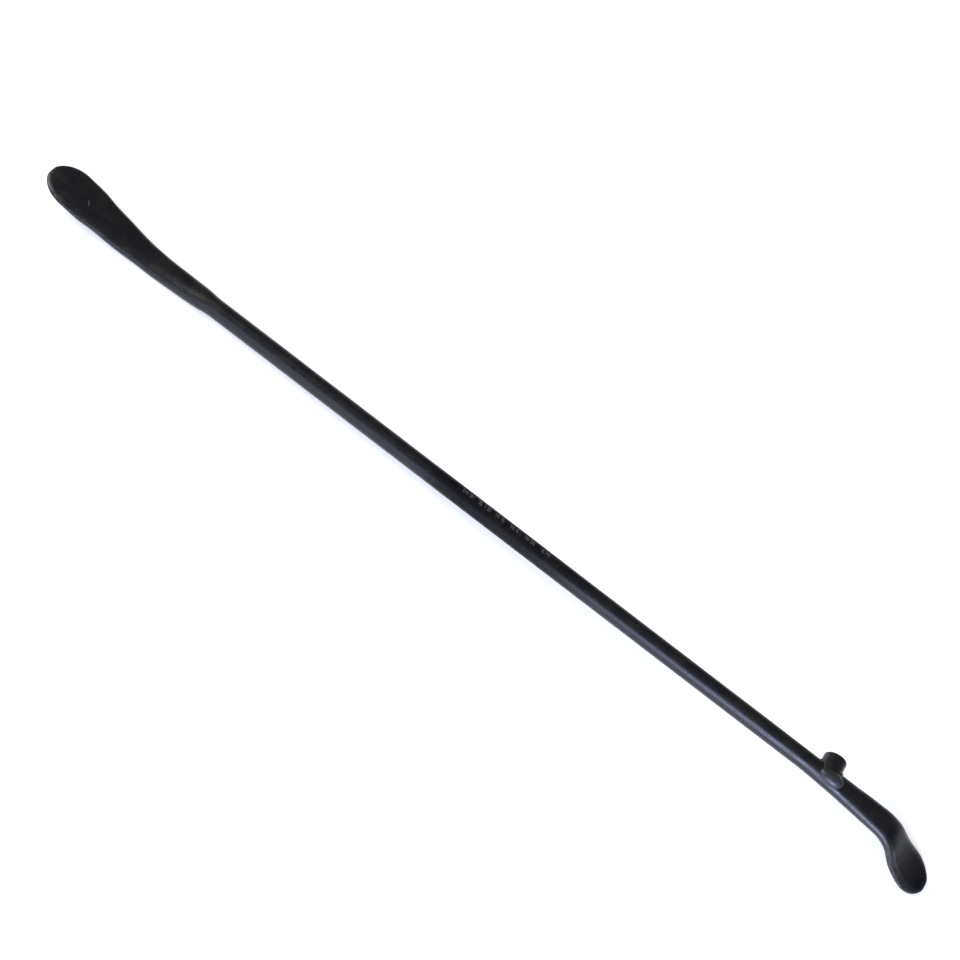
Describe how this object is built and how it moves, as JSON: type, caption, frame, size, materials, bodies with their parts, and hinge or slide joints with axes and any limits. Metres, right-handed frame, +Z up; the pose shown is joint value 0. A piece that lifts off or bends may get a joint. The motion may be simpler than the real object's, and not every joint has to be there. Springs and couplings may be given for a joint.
{
  "type": "tyre lever",
  "caption": "Long forged tyre lever for tubeless truck tyres: round shank, straight spoon, hooked spoon and a welded side stop stud.",
  "frame": {"origin": "on the floor plane, under the middle of the lever's bounding box", "axes": "+X along the lever from the straight spoon to the hooked spoon, +Y to the side the stop stud stands out on, +Z up with the hook turned down"},
  "size_m": [1.0132, 0.0418, 0.056],
  "materials": {
    "black_forged_steel": "satin black over a forged and drawn steel bar",
    "black_turned_steel": "satin black over a turned steel stud",
    "black_weld": "satin black over a hand-laid weld bead"
  },
  "bodies": {
    "root": {"lever_bar": "black_forged_steel", "stop_stud": "black_turned_steel", "weld_bead": "black_weld"}
  },
  "joints": []
}
